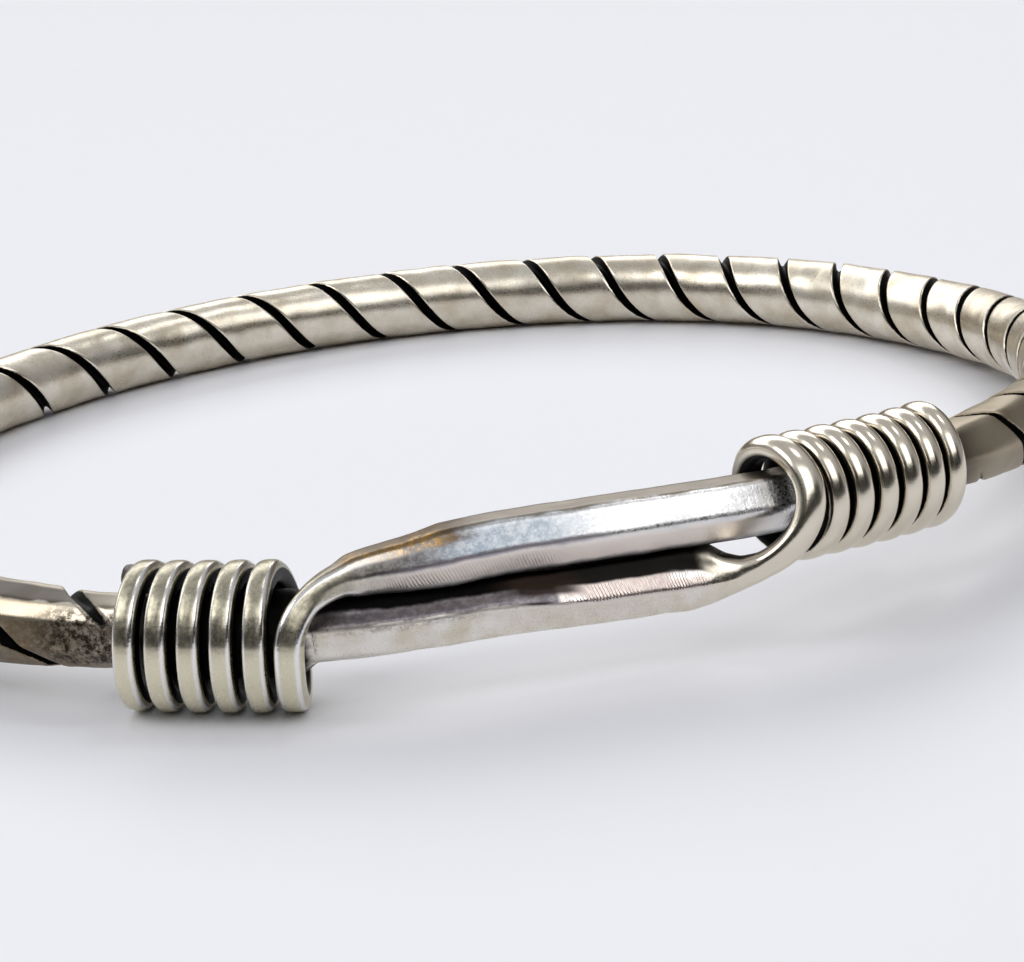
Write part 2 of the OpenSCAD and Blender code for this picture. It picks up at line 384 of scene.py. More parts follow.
class WireLine:
    """The middle line of one wire end, from its bar through the bend and round the other bar."""

    # Degrees wound between which the wire goes over from its bend to its coil.
    COILING = (15, 70)

    def __init__(self, rod: RodLine, wire: WireSizes) -> None:
        """Works out the bend and the wire's length.

        Args:
            rod: the rod that the wire belongs to.
            wire: the wire's own sizes.
        """
        self.rod = rod
        self.wire = wire
        s = rod.sizes
        self.sign = wire.side.value
        self.unroll_r = s.left_coil_r
        self.bend = math.pi / 2 - math.atan(wire.pitch / (2 * math.pi * self.unroll_r))
        self.bend_len = wire.bend_r * self.bend
        straight_climb = math.radians(wire.turns) * self.unroll_r - wire.bend_r * (1 - math.cos(self.bend))
        self.length = self.bend_len + straight_climb / math.sin(self.bend)

    def advance(self, w: float) -> float:
        """How far the unrolled wire has come along the ring.

        Args:
            w: way from the start of the bend in mm, negative on the bar.

        Returns:
            The way in mm.
        """
        r = self.wire.bend_r
        if w < 0:
            return w
        if w < self.bend_len:
            return r * math.sin(w / r)
        return r * math.sin(self.bend) + (w - self.bend_len) * math.cos(self.bend)

    def wound(self, w: float) -> float:
        """How far the wire has turned round the other bar.

        Args:
            w: way from the start of the bend in mm, negative on the bar.

        Returns:
            The degrees.
        """
        r = self.wire.bend_r
        if w < 0:
            return 0.0
        if w < self.bend_len:
            climb = r * (1 - math.cos(w / r))
        else:
            climb = r * (1 - math.cos(self.bend)) + (w - self.bend_len) * math.sin(self.bend)
        return math.degrees(climb / self.unroll_r)

    def angle(self, w: float) -> float:
        """Ring angle that the wire has come to."""
        return self.sign * (self.wire.start + self.advance(w) / self.rod.sizes.mm_per_deg)

    def axis_z(self, a: float) -> float:
        """Height of the coil's axis."""
        s = self.rod.sizes
        return self.rod.upper_z(a) if self.wire.side is Side.RIGHT else s.left_coil_r + s.wire_d / 2

    def coil_r(self, w: float) -> float:
        """Distance of the wire from its coil's axis, which settles from the bars' distance apart.

        Args:
            w: way from the start of the bend in mm, negative on the bar.

        Returns:
            The distance in mm.
        """
        a = self.sign * min(self.wire.start, abs(self.angle(w)))
        bar_z = self.rod.lower_z(a) if self.wire.side is Side.RIGHT else self.rod.upper_z(a)
        settled = smooth(self.wound(w) / self.wire.settle_turn)
        return mix(abs(self.axis_z(a) - bar_z), self.wire.coil_r, settled)

    def point(self, w: float) -> Vector:
        """The wire's middle after a way w along it.

        Args:
            w: way from the start of the bend in mm, negative on the bar.

        Returns:
            The point in mm.
        """
        turn = math.radians(self.sign * (self.wound(w) - 90))
        most = self.wire.lean + self.wire.lean_step * self.wound(w) / 360
        lean = most * (1 - math.cos(turn)) / 2 * smooth(self.wound(w) / 90)
        a = self.angle(w) - lean / self.rod.sizes.mm_per_deg
        r = self.coil_r(w)
        return self.rod.at(a, self.rod.radius(a) + r * math.cos(turn), self.axis_z(a) + r * math.sin(turn))

    def face(self, w: float) -> Vector:
        """The direction that the wire's worn outer face looks in."""
        turn = math.radians(self.sign * max(0.0, self.wound(w) - 90))
        return self.rod.at(self.angle(w), math.cos(turn), math.sin(turn))

    def away(self, w: float) -> Vector:
        """The direction away from the coil's axis, or the ring's outward direction before the coil.

        Args:
            w: way from the start of the bend in mm, negative on the bar.

        Returns:
            The direction, of length 1.
        """
        turn = math.radians(self.sign * (self.wound(w) - 90))
        a = self.angle(w)
        radial = self.rod.at(a, math.cos(turn), math.sin(turn))
        return self.rod.outward(a).lerp(radial, along(self.wound(w), self.COILING)).normalized()

    def bar_share(self, w: float) -> float:
        """The share of bar that is left along the taper to wire."""
        return looked_up(self.wire.taper, w)

    def wide(self, w: float) -> float:
        """How much wider than thick the wire is, which is more in its first turn.

        Args:
            w: way from the start of the bend in mm, negative on the bar.

        Returns:
            The width as a multiple of the thickness.
        """
        wound = self.wound(w)
        drawn = (1 - self.bar_share(w)) * along(wound, self.COILING)
        return mix(1, self.wire.wide, drawn * (1 - along(wound, self.wire.wide_turns)))


class SweepTree(NodeBuilder):
    """The Geometry Nodes tree that sweeps the rod's section along its stations."""

    VECTORS = ("centre", "outward", "upward", "rubbed_way")
    # The flats filed on the rod: degrees up from the outward direction, the flat's distance from the
    # middle as a share of the rod's half thickness, and the stations' attribute that brings it in.
    FLATS = (
        (82, 0.93, "filed"), (43, 0.977, "filed"), (9, 0.924, "filed"), (-37, 0.9, "filed"),
        (-80, 0.93, "filed"), (38, 0.955, "scooped"),
    )
    # How softly a corner between two faces is rounded, as a share of the rod's half thickness.
    CORNER_SOFTNESS = 0.02
    FLAT_SOFTNESS = 0.015
    # Past 60 degrees from a flat's middle its line would run away, so its cosine is held from there.
    LEAST_FACING = 0.5
    # The crown's middle in degrees, and the cosines between which it rises.
    CROWN_ANGLE = 108
    CROWN_RISE = (0.5, 0.95)
    # The hammer marks: how softly they meet, how unevenly they lie and their middle depth as the texture
    # gives it, and the finer ripple's detail.
    MARK_SOFTNESS = 0.35
    MARK_RANDOMNESS = 0.9
    MARK_MIDDLE = 0.1
    RIPPLE_DETAIL = 3.0

    def __init__(self, sizes: RodSizes) -> None:
        """Builds the tree once for all pieces.

        Args:
            sizes: the rod's driving sizes, for the section's fixed shape.
        """
        super().__init__(bpy.data.node_groups.new("Swept rod", "GeometryNodeTree"))
        self.sizes = sizes
        self.build()

    def build(self) -> None:
        """Adds the tree's sockets and nodes."""
        for name, kind, way in (
            ("Guide", "Geometry", "INPUT"),
            ("Points Around", "Int", "INPUT"),
            ("Hammer Depth", "Float", "INPUT"),
            ("Hammer Size", "Float", "INPUT"),
            ("Finish", "Material", "INPUT"),
            ("Rod", "Geometry", "OUTPUT"),
        ):
            self.tree.interface.new_socket(name, in_out=way, socket_type=f"NodeSocket{kind}")
        given = self.add("NodeGroupInput")
        swept, polar = self.sweep(given)
        named = {name: self.add(NAMED, {"Name": name}, data_type="FLOAT") for name in SHAPING}
        named |= {name: self.add(NAMED, {"Name": name}, data_type="FLOAT_VECTOR") for name in self.VECTORS}
        radius, groove, angle, on_flats = self.radius(named, polar)
        placed = self.place(swept, named, radius, {"groove": groove, "flat_height": on_flats}, angle)
        hammered = self.hammer(placed, given, named)
        dressed = {"Geometry": hammered, "Material": given.outputs["Finish"]}
        finished = self.add("GeometryNodeSetMaterial", dressed)
        solid = self.add("GeometryNodeRealizeInstances", {"Geometry": finished})
        self.add("NodeGroupOutput", {"Rod": solid})

    def sweep(self, given: Node) -> tuple[Node, Node]:
        """Sweeps a circle along the guide and keeps each point's place on the circle.

        Args:
            given: the tree's input node.

        Returns:
            The swept tube, and the polar angle in radians that its points keep.
        """
        around = given.outputs["Points Around"]
        circle = self.add("GeometryNodeCurvePrimitiveCircle", {"Resolution": around}, mode="RADIUS")
        index = self.add("GeometryNodeInputIndex")
        share = self.add(MATH, [index, around], operation="DIVIDE")
        full = self.add(MATH, [share, math.tau], operation="MULTIPLY")
        marked = self.add(
            STORE, {"Geometry": circle, "Name": "polar", "Value": full}, data_type="FLOAT", domain="POINT"
        )
        guide = self.add("GeometryNodeMeshToCurve", {"Mesh": given.outputs["Guide"]})
        swept = {"Curve": guide, "Profile Curve": marked, "Fill Caps": True}
        tube = self.add("GeometryNodeCurveToMesh", swept)
        polar = self.add(NAMED, {"Name": "polar"}, data_type="FLOAT")
        return tube, polar

    def radius(self, named: dict, polar: Node) -> tuple[Node, ...]:
        """Works out the section's radius from the polar angle.

        Args:
            named: the stations' attributes.
            polar: the polar angle on the untwisted circle.

        Returns:
            The radius in metres, the share of groove at a point, the angle from the outward direction, and
            the height on the section as if its flats weren't rolled, from -1 to 1.
        """
        s = self.sizes
        turned = self.add(MATH, [polar, named["twist"]], operation="ADD")
        angle = self.add(MATH, [turned, named["roll"]], operation="ADD")

        sixth = math.tau / 6
        unrolled = self.add(MATH, [angle, named["facet_roll"]], operation="SUBTRACT")
        in_facet = self.add(MATH, [unrolled, sixth], operation="FLOORED_MODULO")
        off_middle = self.add(MATH, [in_facet, sixth / 2], operation="SUBTRACT")
        flat = self.add(MATH, [off_middle], operation="COSINE")
        hexagon = self.add(MATH, [1.0, flat], operation="DIVIDE")
        blunt = self.add(MATH, [hexagon, s.corner_r, self.CORNER_SOFTNESS], operation="SMOOTH_MIN")
        faceted = self.add(MIX, {0: named["facet_share"], 2: 1.0, 3: blunt}, data_type="FLOAT")
        flattened = self.filed(faceted, angle, named)
        bar = self.add(MATH, [flattened, named["half"]], operation="MULTIPLY")

        powers = []
        for operation in ("COSINE", "SINE"):
            part = self.add(MATH, [angle], operation=operation)
            size = self.add(MATH, [part], operation="ABSOLUTE")
            powers.append(self.add(MATH, [size, named["squareness"]], operation="POWER"))
        both = self.add(MATH, powers, operation="ADD")
        root = self.add(MATH, [-1.0, named["squareness"]], operation="DIVIDE")
        squarish = self.add(MATH, [both, root], operation="POWER")
        wire = self.add(MATH, [squarish, named["wire_half"]], operation="MULTIPLY")
        plain = self.add(MIX, {0: named["bar_share"], 2: wire, 3: bar}, data_type="FLOAT")

        shifted = self.add(MATH, [polar, math.pi / 2], operation="ADD")
        half_turn = self.add(MATH, [shifted, math.pi], operation="FLOORED_MODULO")
        from_groove = self.add(MATH, [half_turn, math.pi / 2], operation="SUBTRACT")
        off_groove = self.add(MATH, [from_groove], operation="ABSOLUTE")
        edge = math.radians(s.groove_half_angle)
        groove = self.add(RANGE, [off_groove, 0.0, edge, 1.0, 0.0], interpolation_type="SMOOTHERSTEP")
        cut = self.add(MATH, [groove, named["groove_share"]], operation="MULTIPLY")
        depth = self.add(MATH, [cut, -s.groove_depth * MM], operation="MULTIPLY")
        off_crown = self.add(MATH, [angle, math.radians(self.CROWN_ANGLE)], operation="SUBTRACT")
        near_crown = self.add(MATH, [off_crown], operation="COSINE")
        crown = self.add(RANGE, [near_crown, *self.CROWN_RISE], interpolation_type="SMOOTHSTEP")
        plain = self.add(MATH, [crown, named["crown"], plain], operation="MULTIPLY_ADD")
        grooved = self.add(MATH, [plain, depth], operation="ADD")
        scaled = self.add(MATH, [grooved, named["scale"]], operation="MULTIPLY")
        on_flats = self.add(MATH, [unrolled], operation="SINE")
        return scaled, cut, angle, on_flats

    def filed(self, share: Node, angle: Node, named: dict) -> Node:
        """Cuts the filed flats into the band's round section.

        Args:
            share: the section's radius as a share of its half thickness.
            angle: each point's angle from the outward direction.
            named: the stations' attributes.

        Returns:
            The share with the flats cut in.
        """
        for degrees, distance, name in self.FLATS:
            off = self.add(MATH, [angle, math.radians(degrees)], operation="SUBTRACT")
            lean = self.add(MATH, [off], operation="COSINE")
            facing = self.add(MATH, [lean, self.LEAST_FACING], operation="MAXIMUM")
            flat = self.add(MATH, [distance, facing], operation="DIVIDE")
            cut = self.add(MATH, [share, flat, self.FLAT_SOFTNESS], operation="SMOOTH_MIN")
            share = self.add(MIX, {0: named[name], 2: share, 3: cut}, data_type="FLOAT")
        return share

    def place(self, tube: Node, named: dict, radius: Node, shares: dict[str, Node], angle: Node) -> Node:
        """Puts each point of the tube at its radius, and keeps what the finish needs.

        Args:
            tube: the swept tube.
            named: the stations' attributes.
            radius: each point's radius.
            shares: the values that each point keeps by name.
            angle: each point's angle from the outward direction.

        Returns:
            The shaped rod. Its attribute straight is the place on the rod as if it were straightened,
            in mm: way along it, height and outwards.
        """
        cosine = self.add(MATH, [angle], operation="COSINE")
        sine = self.add(MATH, [angle], operation="SINE")
        out = self.add(MATH, [cosine, radius], operation="MULTIPLY")
        level = self.add(MATH, [sine, radius], operation="MULTIPLY")
        up = self.add(MATH, [level, named["wide"]], operation="MULTIPLY")
        outwards = self.add(VECTOR_MATH, {0: named["outward"], "Scale": out}, operation="SCALE")
        upwards = self.add(VECTOR_MATH, {0: named["upward"], "Scale": up}, operation="SCALE")
        offset = self.add(VECTOR_MATH, [outwards, upwards], operation="ADD")
        place = self.add(VECTOR_MATH, [named["centre"], offset], operation="ADD")
        up_mm = self.add(MATH, [up, 1 / MM], operation="MULTIPLY")
        out_mm = self.add(MATH, [out, 1 / MM], operation="MULTIPLY")
        straight = self.add("ShaderNodeCombineXYZ", [named["way"], up_mm, out_mm])
        not_bar = self.add(MATH, [1.0, named["bar_share"]], operation="SUBTRACT")
        way_out = self.add(VECTOR_MATH, [offset], operation="NORMALIZE")
        rubbed = self.add(VECTOR_MATH, [way_out, named["rubbed_way"]], operation="DOT_PRODUCT")
        kept = tube
        for name, value, kind in (
            ("straight", straight, "FLOAT_VECTOR"),
            *((name, value, "FLOAT") for name, value in shares.items()),
            ("wire", not_bar, "FLOAT"),
            ("rubbed", rubbed.outputs["Value"], "FLOAT"),
        ):
            kept = self.add(
                STORE, {"Geometry": kept, "Name": name, "Value": value}, data_type=kind, domain="POINT"
            )
        return self.add("GeometryNodeSetPosition", {"Geometry": kept, "Position": place})

    def hammer(self, rod: Node, given: Node, named: dict) -> Node:
        """Dents the forged stretches with shallow, flat hammer marks.

        Args:
            rod: the shaped rod.
            given: the tree's input node.
            named: the stations' attributes.

        Returns:
            The dented rod.
        """
        straight = self.add(NAMED, {"Name": "straight"}, data_type="FLOAT_VECTOR")
        density = self.add(MATH, [1.0, given.outputs["Hammer Size"]], operation="DIVIDE")
        at = {"Vector": straight, "Scale": density}
        pattern = at | {"Smoothness": self.MARK_SOFTNESS, "Randomness": self.MARK_RANDOMNESS}
        marks = self.add("ShaderNodeTexVoronoi", pattern, feature="SMOOTH_F1").outputs["Distance"]
        ripple = self.add(NOISE, at | {"Detail": self.RIPPLE_DETAIL})
        level = self.add(MATH, [marks, self.MARK_MIDDLE], operation="SUBTRACT")
        wave = self.add(MATH, [ripple, NOISE_MIDDLE], operation="SUBTRACT")
        both = self.add(MATH, [level, wave], operation="ADD")
        deep = self.add(MATH, [both, given.outputs["Hammer Depth"]], operation="MULTIPLY")
        forged = self.add(MATH, [deep, named["bar_share"]], operation="MULTIPLY")
        normal = self.add("GeometryNodeInputNormal")
        offset = self.add(VECTOR_MATH, {0: normal, "Scale": forged}, operation="SCALE")
        return self.add("GeometryNodeSetPosition", {"Geometry": rod, "Offset": offset})


@dataclass
class RodPiece:
    """One swept stretch of the rod, made into a plain mesh."""

    name: str
    stations: list[Station]
    around: int
    hammer_depth: float
    hammer_size: float

    def guide(self) -> Object:
        """Makes the guide: a chain of points that carry the stations' sizes in metres.

        Returns:
            The guide's object.
        """
        mesh = bpy.data.meshes.new(f"{self.name}_guide")
        centres = [station.centre * MM for station in self.stations]
        mesh.from_pydata(centres, [(i, i + 1) for i in range(len(centres) - 1)], [])
        for name, size in (SHAPING | DRESSING).items():
            values = [getattr(station, name) * size for station in self.stations]
            mesh.attributes.new(name, "FLOAT", "POINT").data.foreach_set("value", values)
        vectors = {
            "centre": centres,
            "outward": [s.outward for s in self.stations],
            "upward": [s.upward for s in self.stations],
            "rubbed_way": [s.rubbed or s.outward for s in self.stations],
        }
        for name, values in vectors.items():
            flat = [part for vector in values for part in vector]
            mesh.attributes.new(name, "FLOAT_VECTOR", "POINT").data.foreach_set("vector", flat)
        return add_object(mesh.name, mesh)

    def build(self, sweep: SweepTree, finish: Material) -> None:
        """Sweeps the stretch and keeps the result as a plain mesh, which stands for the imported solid.

        Args:
            sweep: the shared tree.
            finish: the material of the piece.
        """
        guide = self.guide()
        modifier = guide.modifiers.new("Sweep", "NODES")
        modifier.node_group = sweep.tree
        given = {
            "Points Around": self.around,
            "Hammer Depth": self.hammer_depth * MM,
            "Hammer Size": self.hammer_size,
            "Finish": finish,
        }
        sockets = {item.name: item.identifier for item in sweep.tree.interface.items_tree}
        for name, value in given.items():
            modifier[sockets[name]] = value
        evaluated = guide.evaluated_get(bpy.context.evaluated_depsgraph_get())
        mesh = bpy.data.meshes.new_from_object(evaluated)
        guide.modifiers.remove(modifier)
        bpy.data.objects.remove(guide)
        mesh.name = self.name
        for name in (*SHAPING, *sweep.VECTORS, "polar"):
            if name in mesh.attributes:
                mesh.attributes.remove(mesh.attributes[name])
        face_outwards(mesh)
        mesh.shade_smooth()
        piece = add_object(self.name, mesh)
        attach(piece, BODY)
        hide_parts(NODE)
        log.info("%s: %d stations, %d faces", self.name, len(self.stations), len(mesh.polygons))


def face_outwards(mesh: Mesh) -> None:
    """Turns a closed mesh the right way out, judged by the volume that its faces enclose.

    Args:
        mesh: a closed mesh whose faces all agree with each other.
    """
    mesh.calc_loop_triangles()
    corners = np.empty(len(mesh.loop_triangles) * 3, dtype=np.int32)
    mesh.loop_triangles.foreach_get("vertices", corners)
    points = np.empty(len(mesh.vertices) * 3)
    mesh.vertices.foreach_get("co", points)
    a, b, c = (points.reshape(-1, 3)[corners.reshape(-1, 3)[:, k]] for k in range(3))
    if np.einsum("ij,ij->i", a, np.cross(b, c)).sum() < 0:
        mesh.flip_normals()


def frame_axes(ahead: Vector, face: Vector) -> tuple[Vector, Vector]:
    """The section's two axes across the rod.

    Args:
        ahead: the direction along the rod.
        face: the direction that the section's front should look in.

    Returns:
        The front's direction made square to the rod, and the direction a quarter turn from it.
    """
    t = ahead.normalized()
    u = (face - face.dot(t) * t).normalized()
    return u, u.cross(t)


def measure(stations: list[Station], sign: int) -> None:
    """Keeps each station's way along the rod in mm, which counts down from 0 where sign is -1."""
    for before, after in zip(stations, stations[1:]):
        after.way = before.way + sign * (after.centre - before.centre).length


# The small step to both sides of a point, in degrees or mm, that gives the line's direction there.
STEP = 0.01


@dataclass
class TwistedBand:
    """The thick round back of the ring, with two grooves turning round it."""

    rod: RodLine
    first: float = 24.0
    last: float = 336.0
    spacing: float = 0.17
    around: int = 72
    hammer_depth: float = 0.09
    hammer_size: float = 2.2
    right_facets: Span = (37, 50)
    left_facets: Span = (30, 35)
    left_filed: Span = (55, 80)

    def facet_share(self, a: float) -> float:
        """How flat-sided the band is. The bars' six flats fade out past each coil.

        Args:
            a: angle from the crossing's middle, from 0 to 360.

        Returns:
            The share of flats, from 0 to 1.
        """
        if a < 180:
            return 1 - along(a, self.right_facets)
        return 1 - along(360 - a, self.left_facets)

    def filed(self, a: float) -> float:
        """How far the band's own flats are filed. They come in at the left coil and fade out past it.

        Args:
            a: angle from the crossing's middle, from 0 to 360.

        Returns:
            The share that is filed, from 0 to 1.
        """
        if a < 180:
            return 0.0
        return along(360 - a, self.left_facets) * (1 - along(360 - a, self.left_filed))

    def station(self, a: float) -> Station:
        """The band's section at an angle.

        Args:
            a: angle from the crossing's middle, from 0 to 360.

        Returns:
            The station.
        """
        rod = self.rod
        u, v = frame_axes(rod.point(a + STEP) - rod.point(a - STEP), rod.outward(a))
        return Station(
            rod.point(a), u, v, a, rod.half(a), rod.half(a), 1.0, self.facet_share(a), filed=self.filed(a),
            groove_share=rod.groove_share(a), twist=rod.twist(a), facet_roll=rod.roll(a),
        )

    def piece(self) -> RodPiece:
        """The band as a swept piece.

        Returns:
            The piece, ready to build.
        """
        count = round((self.last - self.first) * self.rod.sizes.mm_per_deg / self.spacing)
        stations = [self.station(mix(self.first, self.last, i / count)) for i in range(count + 1)]
        measure(stations, 1)
        return RodPiece("twisted_band", stations, self.around, self.hammer_depth, self.hammer_size)


@dataclass
class PlainEnd:
    """One plain end of the rod: its hammered bar, the taper and bend, and the wire of its coil."""

    rod: RodLine
    wire: WireSizes
    name: str
    hidden_end: float
    spacing: float = 0.13
    around: int = 60
    hammer_depth: float = 0.05
    hammer_size: float = 1.6
    tip_round: float = 0.5
    tip_flat: float = 0.06
    scoop: Rows = ((0, 0),)
    crown: Rows = ((0, 0),)
    line: WireLine = field(init=False)

    def __post_init__(self) -> None:
        """Makes the wire's line."""
        self.line = WireLine(self.rod, self.wire)

    def bar_station(self, a: float) -> Station:
        """The bar's section at an angle.

        Args:
            a: angle from the crossing's middle, from 0 to 360.

        Returns:
            The station.
        """
        rod = self.rod
        u, v = frame_axes(rod.point(a + STEP) - rod.point(a - STEP), rod.outward(a))
        near = signed(a)
        return Station(
            rod.point(a), u, v, near, rod.half(a), rod.sizes.wire_d / 2, 1.0, 1.0, facet_roll=rod.roll(a),
            squareness=self.wire.squareness, scooped=looked_up(self.scoop, near),
            crown=looked_up(self.crown, near),
        )

    def wire_station(self, w: float) -> Station:
        """The section on the taper and the wire.

        Args:
            w: way from the start of the bend in mm, negative on the bar.

        Returns:
            The station.
        """
        line = self.line
        ahead = line.sign * (line.point(w + STEP) - line.point(w - STEP))
        u, v = frame_axes(ahead, line.face(w))
        a = line.angle(w)
        half = self.rod.half(a + 360 if self.wire.side is Side.RIGHT else a)
        from_tip = max(0.0, 1 - (line.length - w) / self.tip_round)
        return Station(
            line.point(w), u, v, a, half, self.rod.sizes.wire_d / 2, line.bar_share(w), 1.0,
            squareness=self.wire.squareness,
            scooped=looked_up(self.scoop, a),
            crown=looked_up(self.crown, a),
            wide=line.wide(w),
            rubbed=line.away(w),
            coil_height=math.sin(math.radians(line.sign * (line.wound(w) - 90))),
            wound=line.wound(w),
            scale=math.sqrt(max(self.tip_flat, 1 - from_tip * from_tip)),
            roll=-self.wire.roll * line.sign * (1 - line.bar_share(w)),
        )

    def piece(self) -> RodPiece:
        """The bar, taper and coil as one piece, from the hidden end under the other coil to the tip.

        Returns:
            The piece, ready to build.
        """
        rod, wire = self.rod, self.wire
        sign = self.line.sign
        bar_end = (wire.start + wire.first_way / rod.sizes.mm_per_deg) * sign
        if wire.side is Side.RIGHT:
            bar_end += 360
        bar_count = round(abs(bar_end - self.hidden_end) * rod.sizes.mm_per_deg / self.spacing)
        wire_count = round((self.line.length - wire.first_way) / self.spacing)
        stations = [self.bar_station(mix(self.hidden_end, bar_end, i / bar_count)) for i in range(bar_count)]
        for i in range(wire_count + 1):
            stations.append(self.wire_station(mix(wire.first_way, self.line.length, i / wire_count)))
        measure(stations, sign)
        return RodPiece(self.name, stations, self.around, self.hammer_depth, self.hammer_size)


# The flat filed on the lower bar's front, and the height that its top rises to meet the upper bar:
# the ring angle, then the share or the height in mm.
LOWER_SCOOP = ((-1.2, 0), (0.6, 1), (10.5, 1), (12.6, 0))
LOWER_CROWN = (
    (-18, 0), (-16, 0.25), (-12, 0.16), (-8, 0.1), (-5, 0.16), (7, 0.16), (9.5, 0.22), (12, 0.34), (13, 0.1),
    (14, 0),
)


@dataclass(frozen=True)
class Zone:
    """One patch of tarnish, wear, painted shade or painted reflection, by where it lies on the rod.

    Heights are the sine of the angle round the section: 1 on top, 0 on the ring's outside, -1 below. Where
    the flats stand rolled, the heights roll with them.
    """

    colour: str
    roughness: float
    angles: Span
    heights: Span
    angle_fade: float = 1.5
    height_fade: float = 0.12
    outside: float = -0.2
    strength: float = 1.0
    patchy: float = 0.0
    raggedness: float = 0.25
    hatched: float = 0.0


# Degrees of the ring that a zone's ends sway for each 1 that its height would sway.
SWAY_DEGREES = 8


@dataclass(frozen=True)
class CoilPatinaAndReflection:
    """Patina and a painted dark reflection on the coils' turns, by the sine of the angle round the coil."""

    colour: str
    heights: Span
    fade: float
    share: float
    roughness: float = 0.34


@dataclass(frozen=True)
class WornSilverAndPaintedLight:
    """Sterling silver that was hammered and filed, blackened in its recesses, then worn bright on top.

    Forged silver keeps a satin skin of fine pits, and filing leaves fine streaks. Polish wears its raised
    edges to a bright gloss and leaves sulphide, nearly black, wherever a cloth can't reach. Some zones and
    the coils' layers also paint shade, dark reflections and highlights into its colour.
    """

    name: str
    zones: tuple[Zone, ...] = ()
    bright: str = "f3f1ef"
    warm: str = "e4dccd"
    wire_film: str = "dcd4b8"
    oxide: str = "0b0a09"
    speck: str = "3a332b"
    speck_share: float = 0.12
    roughness: float = 0.3
    dull: float = 0.5
    coil_turn: float = 45.0
    open_side: Side | None = None
    tip_turn: float = 3000.0
    tip_fade: float = 20.0
    tip_film: str = "5f5b57"
    tip_roughness: float = 0.4
    # Painted highlight on the coiled wire's rubbed edges: the bright colour and a low roughness.
    rubbed_edge_highlight: float = 0.0
    edge_span: Span = (0.6, 0.82)
    edge_fade: float = 0.06
    edge_roughness: float = 0.2
    # Patina and a painted dark reflection in bands round the coils' turns.
    coil_patina_and_reflection: tuple[CoilPatinaAndReflection, ...] = ()
    forged_grain: float = 1.0
    wire_grain: float = 0.6
    mottle_mm: float = 1.1
    # Real grain, pits and file marks are finer. They are drawn this coarse so that they show.
    grain_mm: float = 0.11
    speck_mm: float = 0.352
    streak_mm: float = 0.14
    streak_stretch: float = 0.08
    streak_slant: float = -28.0
    hatch_mm: float = 0.13
    hatch_slant: float = -20.0
    relief_mm: float = 0.02


